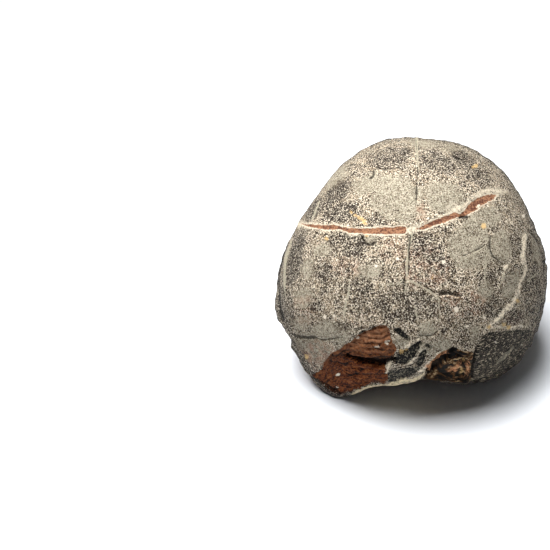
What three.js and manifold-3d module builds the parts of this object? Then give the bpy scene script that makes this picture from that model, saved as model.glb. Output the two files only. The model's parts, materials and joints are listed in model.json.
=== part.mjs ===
// A fossil dinosaur egg: one round, slightly crushed stone egg that rests on the flat spot where it
// broke away from the rock. Shell, mudstone filling and calcite veins have grown into a single stone,
// so the whole object is one solid.
//
// Millimetres, +Z up. The show face, the side with the best shell, looks forward (-Y) and up. The origin
// is on the resting plane, under the middle of the egg's bounding box.

import * as THREE from "three";
import { mergeVertices } from "three/addons/utils/BufferGeometryUtils.js";
import Module from "manifold-3d";

// ---- Driving dimensions ----

const SHOW_FACE_TILT = 40; // degrees that the show face looks up from the horizon
const CENTRE_HEIGHT = 60; // from the resting plane to the centre that every reach is measured from
const FRONT_DEPTH = 74; // reach towards the show face
const BACK_DEPTH = 73; // reach away from it
const MEAN_REACH = 78; // reach of a plain round egg, square-on to the show face
const RIM_SHARPNESS = 5; // how quickly the outline's corners fade towards the middle of either face
const MESH_DETAIL = 16; // each edge of the starting icosahedron is cut into this many parts, plus one
const WELD_DISTANCE = 1e-4; // corners closer than this are one corner

// The outline square-on to the show face: [bearing in degrees, anticlockwise from the right; reach].
// It runs over the round crown, down the straight left shoulder to the broken lower-left corner, through
// the hollow where the underside caved in, and over the lower-right lobe.
const OUTLINE = [
  [0, 80],
  [20, 76.5],
  [45, 78.5],
  [62, 79.5],
  [80, 77.5],
  [100, 77.5],
  [120, 74],
  [140, 69.5],
  [160, 71.5],
  [180, 77.5],
  [200, 84],
  [216, 84.5],
  [230, 91],
  [240, 90],
  [250, 73],
  [262, 67.5],
  [278, 65.5],
  [290, 72],
  [304, 81],
  [320, 87],
  [340, 81.5],
];

// Broad flats where the egg was pressed or broken: bearing round the show face, lean away from the
// show face's middle, and distance from the centre, so a smaller distance takes more away.
const FLATS = {
  brokenLowerLeftCorner: { bearing: 232, lean: 60, distance: 76 },
  lowerRightLobe: { bearing: 318, lean: 68, distance: 78 },
  pressedBack: { bearing: 80, lean: 158, distance: 71 },
  backLeftBreak: { bearing: 190, lean: 122, distance: 71 },
  backRightCheek: { bearing: 15, lean: 128, distance: 73 },
};
const FLAT_SOFTNESS = 9; // distance over which a flat blends into the round

// Shallow dents (negative heights) and swells (positive ones), each fading over its spread in degrees.
const DENTS = {
  cavedInFrontEdge: { bearing: 280, lean: 66, height: -4, spread: 15 },
  cleftBesideTheLobe: { bearing: 296, lean: 78, height: -3, spread: 10 },
  sunkenPlateOnTheRight: { bearing: 350, lean: 62, height: -1.6, spread: 14 },
  swellLeftOfTheMiddle: { bearing: 185, lean: 30, height: 1.4, spread: 24 },
  crownPlate: { bearing: 95, lean: 42, height: 1, spread: 22 },
  dentHighOnTheBack: { bearing: 60, lean: 118, height: -2, spread: 18 },
  swellLowOnTheBack: { bearing: 150, lean: 140, height: 1.8, spread: 20 },
};

// ---- The shape, as a reach from the centre in every direction ----

const tilt = THREE.MathUtils.degToRad(SHOW_FACE_TILT);
const ACROSS = new THREE.Vector3(1, 0, 0);
const UP_FACE = new THREE.Vector3(0, Math.sin(tilt), Math.cos(tilt));
const OUT_FACE = new THREE.Vector3(0, -Math.cos(tilt), Math.sin(tilt));

// The unit direction at a bearing round the show face and a lean away from its middle.
function directionAt(bearing, lean) {
  const b = THREE.MathUtils.degToRad(bearing);
  const l = THREE.MathUtils.degToRad(lean);
  return new THREE.Vector3()
    .addScaledVector(ACROSS, Math.cos(b) * Math.sin(l))
    .addScaledVector(UP_FACE, Math.sin(b) * Math.sin(l))
    .addScaledVector(OUT_FACE, Math.cos(l));
}

// The outline's reach at a bearing, on a smooth closed curve through the stated points.
function outlineReach(bearing) {
  const count = OUTLINE.length;
  const next = OUTLINE.findIndex(([angle]) => angle > bearing);
  const i = next < 0 ? count - 1 : next - 1;
  const point = (k) => {
    const [angle, reach] = OUTLINE[(k + count) % count];
    return [angle + 360 * Math.floor(k / count), reach];
  };
  const [before, from, to, after] = [i - 1, i, i + 1, i + 2].map(point);
  const step = to[0] - from[0];
  const t = (bearing - from[0]) / step;
  const slopeFrom = (step * (to[1] - before[1])) / (to[0] - before[0]);
  const slopeTo = (step * (after[1] - from[1])) / (after[0] - from[0]);
  return (
    (1 + 2 * t) * (1 - t) ** 2 * from[1] +
    t * (1 - t) ** 2 * slopeFrom +
    t * t * (3 - 2 * t) * to[1] +
    t * t * (t - 1) * slopeTo
  );
}

// The smaller of two reaches, rounded off over the given softness where they are close.
function softSmaller(a, b, softness) {
  const blend = Math.max(softness - Math.abs(a - b), 0) / softness;
  return Math.min(a, b) - (blend * blend * softness) / 4;
}

function reachOf(direction) {
  const across = direction.dot(ACROSS);
  const up = direction.dot(UP_FACE);
  const out = direction.dot(OUT_FACE);
  const sinLean = Math.hypot(across, up);
  const bearing = (THREE.MathUtils.radToDeg(Math.atan2(up, across)) + 360) % 360;
  const corner = (outlineReach(bearing) - MEAN_REACH) * sinLean ** RIM_SHARPNESS;
  const side = MEAN_REACH + corner;
  const depth = out > 0 ? FRONT_DEPTH : BACK_DEPTH;
  let reach = 1 / Math.hypot(sinLean / side, out / depth);
  for (const flat of Object.values(FLATS)) {
    const facing = direction.dot(directionAt(flat.bearing, flat.lean));
    if (facing > 0) {
      reach = softSmaller(reach, flat.distance / facing, FLAT_SOFTNESS);
    }
  }
  for (const dent of Object.values(DENTS)) {
    const angle = direction.angleTo(directionAt(dent.bearing, dent.lean));
    const share = THREE.MathUtils.radToDeg(angle) / dent.spread;
    reach += dent.height * Math.exp(-share * share);
  }
  return reach;
}

// ---- Solids ----

const wasm = await Module();
wasm.setup();

function solidFrom(geometry) {
  const bare = geometry.clone();
  bare.deleteAttribute("normal");
  bare.deleteAttribute("uv");
  const merged = mergeVertices(bare, WELD_DISTANCE);
  return new wasm.Manifold(
    new wasm.Mesh({
      numProp: 3,
      vertProperties: merged.attributes.position.array,
      triVerts: new Uint32Array(merged.index.array),
    }),
  );
}

function geometryFrom(solid) {
  const mesh = solid.getMesh();
  const geometry = new THREE.BufferGeometry();
  geometry.setAttribute("position", new THREE.BufferAttribute(mesh.vertProperties, 3));
  geometry.setIndex(new THREE.BufferAttribute(mesh.triVerts, 1));
  return geometry;
}

// The whole round egg, standing at its height over the resting plane.
function roundEgg() {
  const ball = new THREE.IcosahedronGeometry(1, MESH_DETAIL);
  const position = ball.attributes.position;
  const direction = new THREE.Vector3();
  for (let i = 0; i < position.count; i += 1) {
    direction.fromBufferAttribute(position, i).normalize();
    const reach = reachOf(direction);
    position.setXYZ(
      i,
      direction.x * reach,
      direction.y * reach,
      direction.z * reach + CENTRE_HEIGHT,
    );
  }
  return solidFrom(ball);
}

// Everything below the resting plane, as one block.
function belowTheFloor() {
  const size = 4 * MEAN_REACH;
  return solidFrom(new THREE.BoxGeometry(size, size, size).translate(0, 0, -size / 2));
}

// The finished egg: cut flat where it rests, and centred over the origin.
function fossilEgg() {
  const stone = geometryFrom(roundEgg().subtract(belowTheFloor()));
  stone.computeBoundingBox();
  const middle = stone.boundingBox.getCenter(new THREE.Vector3());
  stone.translate(-middle.x, -middle.y, 0);
  stone.computeVertexNormals();
  const finish = new THREE.MeshStandardMaterial({
    color: 0x8d8373,
    roughness: 0.85,
    metalness: 0,
  });
  const mesh = new THREE.Mesh(stone, finish);
  mesh.name = "fossil_egg";
  return mesh;
}

const part = new THREE.Group();
part.add(fossilEgg());

export default part;
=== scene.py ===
# %% [markdown]
# # A fossil dinosaur egg
# This lesson finishes one stone: a round dinosaur egg, slightly crushed, that filled with red mudstone
# and turned to rock. The imported CAD model gives its true size and rough form. Here it gets a surface:
# speckled grey shell, a long crack filled with red mudstone between pale calcite edges, hairlines, a
# corner where the shell has broken away, and a caved-in hollow under the front.
#
# The first step loads the imported model. Its box is kept, for the measuring below.

import json
import math

import bmesh
import bpy
from mathutils import Matrix, Vector, kdtree, noise
from mathutils.bvhtree import BVHTree

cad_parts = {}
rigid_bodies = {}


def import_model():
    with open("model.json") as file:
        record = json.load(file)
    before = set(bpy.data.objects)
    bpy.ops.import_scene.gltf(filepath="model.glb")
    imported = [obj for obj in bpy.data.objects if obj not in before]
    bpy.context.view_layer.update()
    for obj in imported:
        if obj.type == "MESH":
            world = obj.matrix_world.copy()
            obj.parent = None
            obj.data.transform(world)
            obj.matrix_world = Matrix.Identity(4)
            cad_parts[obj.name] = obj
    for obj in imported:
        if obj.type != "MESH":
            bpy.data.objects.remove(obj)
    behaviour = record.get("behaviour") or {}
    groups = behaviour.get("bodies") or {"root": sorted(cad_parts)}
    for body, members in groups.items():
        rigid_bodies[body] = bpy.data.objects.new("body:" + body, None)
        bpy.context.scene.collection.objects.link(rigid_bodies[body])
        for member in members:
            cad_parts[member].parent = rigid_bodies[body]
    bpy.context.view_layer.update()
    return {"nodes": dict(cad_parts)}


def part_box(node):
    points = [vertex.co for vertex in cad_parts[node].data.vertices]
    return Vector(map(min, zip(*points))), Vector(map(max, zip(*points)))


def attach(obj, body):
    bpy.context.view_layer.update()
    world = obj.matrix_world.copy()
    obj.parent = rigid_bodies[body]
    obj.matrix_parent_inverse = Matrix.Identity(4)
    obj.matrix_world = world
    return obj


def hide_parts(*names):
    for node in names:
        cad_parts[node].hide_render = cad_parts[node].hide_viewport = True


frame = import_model()
EGG_NODE = "fossil_egg"
MM = 0.001
egg_low, egg_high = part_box(EGG_NODE)
egg_size = egg_high - egg_low
print("egg, mm:", [round(side / MM, 1) for side in egg_size])

# %% [markdown]
# ## Tracing sheets
# Cracks and broken edges are easiest to describe the way a museum artist draws them: on a sheet of clear
# film held in front of the egg, in millimetres right and up from the egg's middle. A sheet looks at the
# egg from one direction. It can flatten a point of the egg onto itself, which is all that the measuring
# below needs. The show sheet looks down at 40 degrees, square to the side with the best shell.

# %% A sheet of film in front of the egg
MIDDLE_HEIGHT = 0.4377  # of the egg's height, where the CAD model measures its reaches from
EGG_MIDDLE = Vector((0, 0, egg_low.z + MIDDLE_HEIGHT * egg_size.z))
EYE_DISTANCE = 0.9


class Sheet:
    """A clear sheet through the egg's middle, square to a viewer who looks from one direction."""

    def __init__(self, azimuth, elevation):
        turn, lift = math.radians(azimuth), math.radians(elevation)
        self.right = Vector((math.cos(turn), math.sin(turn), 0))
        level = Vector((math.sin(turn), -math.cos(turn), 0))
        self.out = level * math.cos(lift) + Vector((0, 0, math.sin(lift)))
        self.up = self.out.cross(self.right)

    def flatten(self, point):
        """Where the viewer sees a point on the sheet, in mm, and how far in front of the sheet it is."""
        offset = point - EGG_MIDDLE
        depth = offset.dot(self.out)
        scale = EYE_DISTANCE / (EYE_DISTANCE - depth) / MM
        return offset.dot(self.right) * scale, offset.dot(self.up) * scale, depth / MM


show = Sheet(0, 40)
print("show sheet looks from", [round(part, 2) for part in show.out])

# %% [markdown]
# ## The body
# The show side needs points every two thirds of a millimetre, close enough for a broken shell edge two
# millimetres high. A cube cut into a fine grid and blown up into a ball has near-even squares and no poles.
# Each of its points is then thrown outwards onto the CAD egg. The throwing point lies a little towards the
# show side, so that side gets the finest squares. The facets of the CAD model are smoothed away, and the
# points on its resting face stay on the floor.

# %% Block out the body
GRID_CUTS = 123
THROW_SHIFT = 0.02  # metres towards the show side
SMOOTH_PASSES = 10
FLOOR_SNAP = 0.02 * MM

cad_copy = bmesh.new()
cad_copy.from_mesh(frame["nodes"][EGG_NODE].data)
bmesh.ops.remove_doubles(cad_copy, verts=cad_copy.verts, dist=0.01 * MM)
cad_tree = BVHTree.FromBMesh(cad_copy)
cad_copy.free()

body = bmesh.new()
bmesh.ops.create_cube(body, size=2)
bmesh.ops.subdivide_edges(body, edges=body.edges, cuts=GRID_CUTS, use_grid_fill=True)
throw_point = EGG_MIDDLE + show.out * THROW_SHIFT
face_show = Matrix((show.right, show.up, show.out)).transposed()
for vert in body.verts:
    ray = Vector([math.tan(part * math.pi / 4) for part in vert.co]).normalized()
    vert.co = cad_tree.ray_cast(throw_point, face_show @ ray)[0]
resting = [vert for vert in body.verts if vert.co.z < egg_low.z + FLOOR_SNAP]
for _ in range(SMOOTH_PASSES):
    bmesh.ops.smooth_vert(
        body, verts=body.verts, factor=0.5, use_axis_x=True, use_axis_y=True, use_axis_z=True
    )
    for vert in resting:
        vert.co.z = egg_low.z
body.normal_update()
print("body:", len(body.verts), "points,", 2 * len(body.faces), "triangles")

# %% [markdown]
# ## Drawing on the sheet
# A trace is a smooth line through a few listed points. For every point of the egg it tells how far to
# the left or right of the line that point lies, and how far along the line. A closed trace goes round
# anticlockwise, so the left is the inside. Distances, rather than painted masks, keep every edge sharp
# however coarse the mesh is, and both the modelling and the paint can use them.

# %% Traces
TRACE_STEP = 0.3  # mm between the points that a trace is measured from
FAR_AWAY = 30.0  # mm, for a mark that is nowhere near
TRACE_MARGIN = 5.0  # mm round a trace within which it is worth measuring


def curve_point(before, start, end, after, t):
    """A point on the smooth curve from start to end that passes its neighbours' directions."""
    return 0.5 * (
        2 * start
        + (end - before) * t
        + (2 * before - 5 * start + 4 * end - after) * t**2
        + (3 * start - before - 3 * end + after) * t**3
    )


class Trace:
    """A smooth line on a sheet, through points in mm."""

    def __init__(self, points, closed=False):
        corners = [Vector((x, y, 0)) for x, y in points]
        self.closed = closed
        if closed:
            corners = [corners[-1], *corners, corners[0], corners[1]]
        else:
            corners = [2 * corners[0] - corners[1], *corners, 2 * corners[-1] - corners[-2]]
        self.stations = []
        for before, start, end, after in zip(corners, corners[1:], corners[2:], corners[3:]):
            steps = max(2, round((end - start).length / TRACE_STEP))
            self.stations += [curve_point(before, start, end, after, i / steps) for i in range(steps)]
        if not closed:
            self.stations.append(corners[-2])
        self.along = [0.0]
        for here, there in zip(self.stations, self.stations[1:]):
            self.along.append(self.along[-1] + (there - here).length)
        self.length = self.along[-1]
        self.low = [min(station[i] for station in self.stations) - TRACE_MARGIN for i in (0, 1)]
        self.high = [max(station[i] for station in self.stations) + TRACE_MARGIN for i in (0, 1)]
        self.finder = kdtree.KDTree(len(self.stations))
        for i, station in enumerate(self.stations):
            self.finder.insert(station, i)
        self.finder.balance()

    def near(self, x, y):
        """Whether a point of the sheet is close enough to be worth measuring."""
        return self.low[0] < x < self.high[0] and self.low[1] < y < self.high[1]

    def measure(self, x, y):
        """(mm to the left of the line, mm along it, mm to its nearest point) at a point of the sheet."""
        nearest, i, gap = self.finder.find((x, y, 0))
        last = len(self.stations) - 1
        ahead = self.stations[(i + 1) % (last + 1) if self.closed else min(i + 1, last)]
        behind = self.stations[i - 1 if self.closed else max(i - 1, 0)]
        heading = (ahead - behind).normalized()
        left = heading.x * (y - nearest.y) - heading.y * (x - nearest.x)
        return left, self.along[i], gap

    def inside(self, x, y):
        """Signed mm to a closed line: positive inside it."""
        if not self.near(x, y):
            return -FAR_AWAY
        left, _, gap = self.measure(x, y)
        return math.copysign(gap, left)


def ramp(value, low, high):
    """0 below low, 1 above high, and a smooth rise between them."""
    t = min(max((value - low) / (high - low), 0.0), 1.0)
    return t * t * (3 - 2 * t)


def profile(at, stops):
    """A value that follows given stops (mm, value)."""
    if at <= stops[0][0]:
        return stops[0][1]
    for (from_at, from_value), (to_at, to_value) in zip(stops, stops[1:]):
        if at <= to_at:
            return from_value + (to_value - from_value) * (at - from_at) / (to_at - from_at)
    return stops[-1][1]


print("a trace is measured every", TRACE_STEP, "mm")

# %% [markdown]
# ## The long crack and its calcite
# One long crack opened while the egg was buried. Red mud filled it, and calcite grew along both its walls.
# It has two runs, joined by a bridge of white calcite. A band is a trace together with the half-width of
# its filling at stops along it. Above the right run the calcite spreads into a broad pale patch.

# %% Trace the long crack
RED_BANDS = [
    (
        Trace(
            [
                (-66, 27.5), (-60, 26.3), (-50, 25.2), (-44, 25.1), (-40, 24.3), (-35, 23.5), (-30, 23),
                (-20, 22.9), (-15, 23.1), (-10, 23), (-4.6, 23.3),
            ]
        ),
        [
            (0, 0.1), (6, 0.7), (16, 1.4), (22, 1.3), (26, 0.8), (31, 1.5), (36, 1.4), (46, 1.8),
            (51, 2.0), (56, 1.9), (59, 2.3), (63, 2.1),
        ],
    ),
    (
        Trace(
            [
                (3.5, 24), (7, 24.8), (10, 26), (15, 27.9), (20, 29.8), (25, 31.7), (30, 32.6),
                (33, 34.3), (36, 36.8), (38, 38.4), (41, 40.3), (44, 41.6), (48, 42.8), (54, 45),
            ]
        ),
        [
            (0, 0.3), (3.5, 1.0), (7, 1.2), (12, 1.5), (17, 1.5), (23, 1.6), (28, 1.2), (31, 1.8),
            (35, 2.5), (38, 2.6), (41, 2.5), (44.5, 2.1), (48.5, 1.6), (50.5, 0), (56, -2),
        ],
    ),
]
CALCITE_SPREAD = Trace(
    [
        (4, 25.5), (10, 27.8), (16, 29.8), (22, 31.8), (27, 33.5), (31, 35.5), (34, 38.5), (38, 42),
        (42, 44), (47, 44.3), (51, 43.5), (55, 44.6), (57, 46.4), (52, 47.6), (45, 48.2), (39.5, 46.2),
        (35, 42.6), (31.5, 38.4), (27, 37), (22.5, 35.4), (20, 32.6), (15, 30.8), (10, 29), (4, 27.4),
    ],
    closed=True,
)
CALCITE_PATCHES = {  # across, up, half-width, half-height, lean in degrees
    "bridge": (0.8, 23.6, 3.4, 2.8, 30),
    "left end": (-63.5, 26.6, 3.2, 2.4, 12),
    "under the left run": (-33, 20.6, 5, 1.0, -8),
}
CALCITE_EDGE = 0.7  # mm of calcite beside the filling
CRACK_INCLUSIONS = [  # across, up, radius
    (-19, 22.6, 0.9), (-17.6, 22.2, 0.6), (39.3, 37.6, 1.3), (38, 36.9, 0.9), (28.4, 33.6, 1.1),
]
print("long crack, mm:", [round(trace.length) for trace, _ in RED_BANDS])

# %% [markdown]
# ## Thin dark lines
# Hairlines run through the shell where it settled. Some gape a little, like the short fold crack right of
# the middle. Lines that come close to each other are kept in separate sets, because each point of the egg
# remembers only the nearest line of a set.

# %% Trace the thin lines
EVEN = [(0, 0.32)]
FAINT = [(0, 0.22)]
DARK_LINES = {
    "line_a": [
        (Trace([(3, 76), (3.2, 70), (3.9, 62), (3.9, 54), (3.4, 48), (3.6, 43), (3, 38)]),
         [(0, 0.1), (14, 0.1), (18, 0.3), (24, 0.25), (30, 0.6), (34, 0.5), (38, 0)]),
        (Trace([(-0.3, 20), (-0.7, 13), (-1, 8), (-0.9, 3), (-1.2, -3)]),
         [(0, 0.3), (8, 0.55), (23, 0.35)]),
        (Trace([(16.3, -15.2), (18.5, -14), (21.5, -13.7), (24.5, -14.4), (27, -15.1), (29.5, -15.1)]),
         [(0, 0.4), (3, 0.95), (7, 0.85), (11, 0.7), (13.5, 0.3)]),
        (Trace([(-70, -38), (-66, -39.6), (-62, -40.4), (-57, -40.1), (-52, -41.2), (-46, -40.6),
                (-40, -39.4)]),
         [(0, 0.4), (5, 0.8), (8, 1.0), (13, 0.9), (16, 0.45), (30, 0.3)]),
        (Trace([(-31.5, 0.5), (-29, -3.5), (-27, -7.5)]), FAINT),
        (Trace([(46.6, 19.5), (46, 14), (47.3, 9), (50, 6.3), (53, 3.6)]), [(0, 0.2), (8, 0.5), (18, 0.3)]),
        (Trace([(68.5, 22.5), (72, 19.5), (74.6, 14), (76, 9)]), [(0, 0.3), (6, 0.5), (14, 0.3)]),
        (Trace([(-11.5, -58.8), (-6, -57.2), (-1, -56.6), (3, -54.5)]), EVEN),
        (Trace([(5, -38.6), (9, -38.9), (12.5, -38.2), (15.5, -36), (17, -33)]),
         [(0, 0.3), (8, 0.5), (13, 0.2)]),
        (Trace([(-30, -37), (-26, -35.2), (-21, -33.6)]), EVEN),
        (Trace([(-40.5, 51), (-36, 54.5), (-33.5, 57.5)]), FAINT),
    ],
    "line_b": [
        (Trace([(-3.2, 8), (-3.7, 3), (-3.1, -2), (-3.7, -6), (-4.3, -10), (-3.8, -14)]),
         [(0, 0.2), (5, 0.4), (10, 0.2), (15, 0.5), (20, 0.4), (22, 0.1)]),
        (Trace([(4, -7), (8, -9), (12, -12), (15.5, -14.6)]), [(0, 0.15), (5, 0.4), (10, 0.3), (14, 0.1)]),
        (Trace([(-28.8, 19.6), (-28, 17.4), (-25.8, 15.5), (-23, 15), (-20.5, 16.4)]),
         [(0, 0.5), (6, 0.7), (11, 0.5)]),
        (Trace([(31, 8), (35, 10.2), (39, 12), (43.5, 15)]), [(0, 0.4), (4, 0.2), (9, 0.35), (14, 0.2)]),
        (Trace([(56, -0.5), (58.5, -2.6), (60.5, -1.5)]), FAINT),
        (Trace([(-62, -61.5), (-57.5, -64.3), (-52, -66.6), (-48, -69), (-44.5, -71.2), (-40, -72.8)]),
         [(0, 0.4), (6, 0.6), (12, 0.7), (20, 0.9), (25, 0.5)]),
        (Trace([(-46.5, -50), (-43.5, -50.8), (-41, -48.8), (-39, -47.4), (-37.4, -49), (-35, -48.2)]),
         [(0, 0.5)]),
        (Trace([(24.5, 67.5), (28, 65.5), (32, 65.2), (33.5, 69)]), [(0, 0.5), (8, 0.4)]),
        (Trace([(-24.6, 58.5), (-22, 58), (-22.2, 55.5), (-24.2, 54.2)]), [(0, 0.6), (5, 0.7)]),
        (Trace([(-20, 60.5), (-14, 59.6), (-8, 60.4), (-4, 59)]), [(0, 0.4), (9, 0.4), (16, 0.1)]),
        (Trace([(-38, 61), (-34, 62.2), (-31, 62.6)]), EVEN),
    ],
    "line_c": [
        (Trace([(-72, 19), (-75.5, 9), (-78, -2), (-78.6, -12), (-77.6, -22), (-75.5, -30)]),
         [(0, 0.3), (12, 0.55), (50, 0.6)]),
        (Trace([(76.6, 10), (77.4, 4), (77.2, -4), (77.2, -12), (76.2, -20), (73, -30)]),
         [(0, 0.3), (8, 0.4), (14, 0.2), (22, 0), (32, 0.2), (40, 0)]),
        (Trace([(-28, -51.2), (-22, -51.3), (-16, -50.4), (-11, -50.2)]), [(0, 0.3), (6, 0.5)]),
        (Trace([(-37, -61.6), (-30, -60.6), (-22, -60.6), (-14, -61)]), [(0, 0.3)]),
        (Trace([(-47, -53.2), (-40, -54.4), (-34, -53.6)]), [(0, 0.35)]),
        (Trace([(-22, -45.8), (-16, -46.6), (-10, -46)]), [(0, 0.2)]),
        (Trace([(-34, -42), (-27, -43.2), (-20, -42.4)]), [(0, 0.2)]),
        (Trace([(20, -57.2), (26, -58.2), (31, -58.8)]), [(0, 0.5)]),
        (Trace([(27, -49.4), (31, -50.6), (35.5, -50)]), [(0, 0.5)]),
        (Trace([(12, -64), (20, -63), (28, -62.2), (34, -62.6)]), [(0, 0.6)]),
    ],
}
print("thin dark lines:", sum(len(lines) for lines in DARK_LINES.values()))

# %% [markdown]
# ## Pale veins and strips
# Calcite also healed some of the hairlines, which now show as pale strips. The widest is the vein down the
# right, and it is wide enough to be a band. The lips are broken edges of the shell, raised and painted pale:
# partly the shell's own edge, partly painted highlight where they catch the light. The main one lies under
# the mudstone corner.

# %% Trace the pale lines
VEIN_BANDS = [
    (
        Trace(
            [
                (66.3, 21.5), (65.6, 14), (65.4, 6), (66.6, 0), (64.6, -5), (63, -10), (61, -17),
                (57, -22), (53, -26), (49, -30), (45.5, -32.5),
            ]
        ),
        [(0, 0.6), (3, 1.5), (16, 1.5), (22, 0.9), (28, 1.3), (38, 1.3), (46, 1.1), (54, 1.4), (62, 0.7)],
    ),
    (Trace([(56.5, 3.2), (54.6, 0.2), (54, -3)]), [(0, 0.5), (3, 1.5), (6, 0.6)]),
    (Trace([(44, -34.5), (48, -34), (53, -33.2), (58, -33.8), (63, -32.4), (68, -33.6)]),
     [(0, 0.6), (14, 0.8), (24, 0.4)]),
    (Trace([(-6.5, -46.8), (-2, -44.8), (1.2, -42.8), (5, -40)]), [(0, 0.3), (6, 0.8), (12, 0.4)]),
    (Trace([(-2, -56), (1.5, -53), (4, -50), (6, -47.5)]), [(0, 0.4), (6, 0.6), (11, 0.3)]),
    (Trace([(-14.2, -60), (-13.6, -57), (-11.4, -55.4)]), [(0, 0.8), (3, 1.6), (5, 0.7)]),
    (Trace([(4.5, -60), (9, -57.2), (13, -53.2), (18, -49.2), (21, -47)]),
     [(0, 0.7), (8, 1.3), (16, 1.2), (22, 0.4)]),
    (Trace([(22, -55.8), (25.5, -56), (29, -54.2)]), [(0, 0.4), (4, 1.5), (8, 0.5)]),
    (Trace([(31, -60), (33.2, -57.6), (33.6, -54.4), (35.6, -50.6)]),
     [(0, 0.3), (4, 1.2), (8, 0.9), (12, 0.2)]),
    (Trace([(-31, -30.5), (-24, -27.6), (-17, -27.4)]), [(0, 0.4)]),
]
LIP_BANDS = [
    (
        Trace(
            [
                (-42, -77.5), (-36, -74), (-31, -71), (-27, -69), (-21, -68), (-15, -67.3), (-10, -66.5),
                (-5, -65), (0, -64.3), (4, -62.8), (7.5, -60),
            ]
        ),
        [(0, 0.3), (8, 0.6), (14, 1.1), (22, 0.9), (30, 1.1), (38, 1.1), (46, 1.0), (54, 0.5)],
    ),
    (Trace([(17, -16.6), (21.5, -15.2), (25, -16), (29.5, -16.6)]), [(0, -0.2), (4, 0.3), (12, 0.2)]),
    (Trace([(-62.4, -61), (-57.6, -65.8), (-52.8, -70.4), (-47.6, -74.6), (-42, -76.6)]),
     [(0, 0.5), (8, 1.0), (24, 0.7)]),
    (Trace([(40, -67), (48, -64), (56, -60), (62, -57.6), (67, -54)]),
     [(0, 0.2), (10, 0.5), (16, 0.2), (24, 0.8), (31, 0.3)]),
]
PALE_STRIPS = {
    "strip_a": [
        (Trace([(0.4, 21), (-1.4, 12), (-2.2, 5), (-2.2, -1), (-2, -6)]),
         [(0, 0.9), (10, 0.7), (20, 0.8), (27, 0.5)]),
        (Trace([(-35.6, -6), (-36.6, -13), (-38.6, -22), (-39.2, -29)]),
         [(0, 0.3), (8, 0.7), (20, 0.6), (24, 0.2)]),
        (Trace([(43.6, 4), (43.2, -3), (44, -10)]), [(0, 0.5), (14, 0.3)]),
        (Trace([(54, -3), (52.2, -8), (50.6, -12.4)]), [(0, 0.6), (6, 0.4), (10, 0.2)]),
        (Trace([(2.4, -21), (3.4, -26), (4.6, -30.6)]), [(0, 0.4)]),
        (Trace([(16, -17), (17, -24), (16.4, -31), (17.4, -38)]), [(0, 0.3), (20, 0.2)]),
        (Trace([(51, -54.5), (55, -51), (60, -45.5)]), [(0, 0.6), (6, 1.1), (13, 0.6)]),
        (Trace([(3.4, 77), (3.2, 71), (4, 64), (4.6, 57)]), [(0, 0.9), (8, 0.8), (14, 0.5), (20, 0.1)]),
        (Trace([(-70.4, 17), (-73.4, 7), (-74.4, -5), (-74, -16)]),
         [(0, 0.4), (12, 0.9), (24, 0.8), (34, 0.3)]),
        (Trace([(-54, 40.5), (-56, 35), (-58, 30)]), [(0, 0.5)]),
    ],
    "strip_b": [
        (Trace([(-1.4, -6.2), (3, -8), (7, -10), (12, -13.4), (17, -17.6)]), [(0, 0.6), (22, 0.5)]),
        (Trace([(-2.6, -8.6), (-3.2, -11), (-3.4, -14)]), [(0, 0.45)]),
        (Trace([(-5, -6.4), (-9.6, -8), (-14, -8.4), (-18, -11)]), [(0, 0.35)]),
        (Trace([(-20.4, 15), (-18, 13.6), (-15, 14), (-13.4, 12)]), [(0, 0.5)]),
        (Trace([(67.8, -5.6), (70, -4.6), (72.4, -2.6)]), [(0, 0.4)]),
        (Trace([(31, 6.4), (36, 9.2), (41, 12.2)]), [(0, 0.3)]),
        (Trace([(-9, 31), (-4, 34), (0, 37)]), [(0, 0.2)]),
    ],
}
print("pale bands and strips:", len(VEIN_BANDS) + len(LIP_BANDS) + sum(map(len, PALE_STRIPS.values())))

# %% [markdown]
# ## The broken places
# Where the shell is gone the red mudstone inside shows, split along its layers. The dark bits beside it
# are crushed shell pressed into the mud. The hollow is where the front edge caved in, and the lobe to its
# right is a plate of shell that slid and was rubbed smooth. Slits are the places where it all gapes: each
# has its band and how deep it goes, and its band is painted black as shade in the gap. Low on the left the
# outline steps in, where a flake came off.

# %% Trace the broken places
MUD_CORNER = Trace(
    [
        (-12.8, -34.6), (-15, -33.2), (-18.5, -33), (-22, -34.6), (-26.5, -36), (-31.5, -38.6),
        (-34.5, -42), (-38.5, -44.6), (-43, -47.4), (-48, -50.5), (-50.6, -54.5), (-52.6, -59),
        (-56, -61.2), (-58, -62.6), (-54.4, -66.6), (-50.2, -70.2), (-46, -72.8), (-41.6, -74.2),
        (-37.6, -73), (-31, -70), (-22, -67), (-14.6, -66.2), (-13.8, -62), (-14.6, -58), (-12.4, -53.6),
        (-10.6, -50), (-8.4, -46.4), (-10.4, -42.6), (-12, -38.6),
    ],
    closed=True,
)
BITS = [
    Trace(
        [
            (-10, -53.6), (-4, -55.6), (1, -52.4), (4, -48), (6.6, -42), (3.4, -42.6), (-1.4, -46),
            (-7.4, -49),
        ],
        closed=True,
    ),
    Trace([(3.4, -56), (6.4, -56.6), (8.6, -52), (9.4, -47.4), (7, -47.8), (4.6, -51.4)], closed=True),
    Trace(
        [
            (-13, -60.6), (-12.6, -66), (-5, -64.6), (0, -62.6), (5, -59.4), (4.4, -57), (-1, -57.6),
            (-7, -58.4),
        ],
        closed=True,
    ),
    Trace(
        [
            (-10, -35.4), (-8.4, -37.6), (-4, -40.4), (-0.6, -41.8), (-0.4, -39.8), (-3.8, -36.8),
            (-7.4, -34.4),
        ],
        closed=True,
    ),
    Trace([(8.4, -44.6), (11, -46.6), (12.4, -45.2), (9.6, -43)], closed=True),
]
HOLLOW = Trace(
    [
        (8.5, -58), (9, -67), (20, -69), (33, -69), (36, -61), (36, -54), (36, -48.5), (30, -47.4),
        (24.5, -46.4), (19, -48.4), (13, -53),
    ],
    closed=True,
)
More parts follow.
